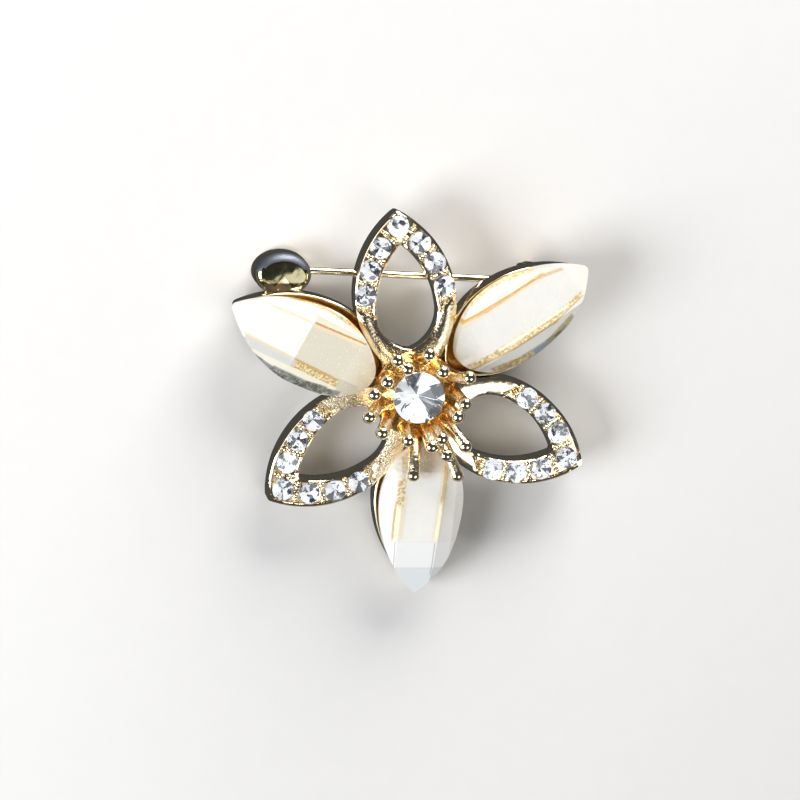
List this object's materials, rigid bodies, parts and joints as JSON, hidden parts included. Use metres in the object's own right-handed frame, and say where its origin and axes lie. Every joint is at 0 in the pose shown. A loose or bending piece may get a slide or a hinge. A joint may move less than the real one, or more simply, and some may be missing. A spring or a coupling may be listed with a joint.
{
  "type": "flower brooch",
  "caption": "Six-petalled flower brooch in polished gold metal with open stone-set petals, cream faceted inlays, ball stamens round a clear stone, and a hinged pin with a hooded catch.",
  "frame": {"origin": "middle of the bounding box, on the surface that the brooch lies on", "axes": "+Z out of the flower's face, +Y from the bottom petal towards the top petal, +X towards the hinge's side"},
  "size_m": [0.0362, 0.0396, 0.0096],
  "materials": {
    "gold": "polished light gold plating",
    "crystal": "clear faceted glass with a bright foiled back",
    "cream_inlay": "glossy faceted cream resin with gold streaks"
  },
  "bodies": {
    "root": {"flower_casting": "gold", "centre_stone": "crystal", "stone_top_1": "crystal", "stone_top_2": "crystal", "stone_top_3": "crystal", "stone_top_4": "crystal", "stone_top_5": "crystal", "stone_top_6": "crystal", "stone_top_7": "crystal", "stone_lower_left_1": "crystal", "stone_lower_left_2": "crystal", "stone_lower_left_3": "crystal", "stone_lower_left_4": "crystal", "stone_lower_left_5": "crystal", "stone_lower_left_6": "crystal", "stone_lower_left_7": "crystal", "stone_lower_right_1": "crystal", "stone_lower_right_2": "crystal", "stone_lower_right_3": "crystal", "stone_lower_right_4": "crystal", "stone_lower_right_5": "crystal", "stone_lower_right_6": "crystal", "stone_lower_right_7": "crystal", "inlay_left": "cream_inlay", "inlay_right": "cream_inlay", "inlay_bottom": "cream_inlay", "hinge_rivet": "gold"},
    "pin": {"pin_stem": "gold"}
  },
  "joints": [
    {"name": "pin_hinge", "type": "hinge", "parent": "root", "child": "pin", "pos_m": [0.01262, 0.01115, 0.00136], "axis": [-0.0912, -0.9938, -0.0643], "range_deg": [0, 60]}
  ]
}
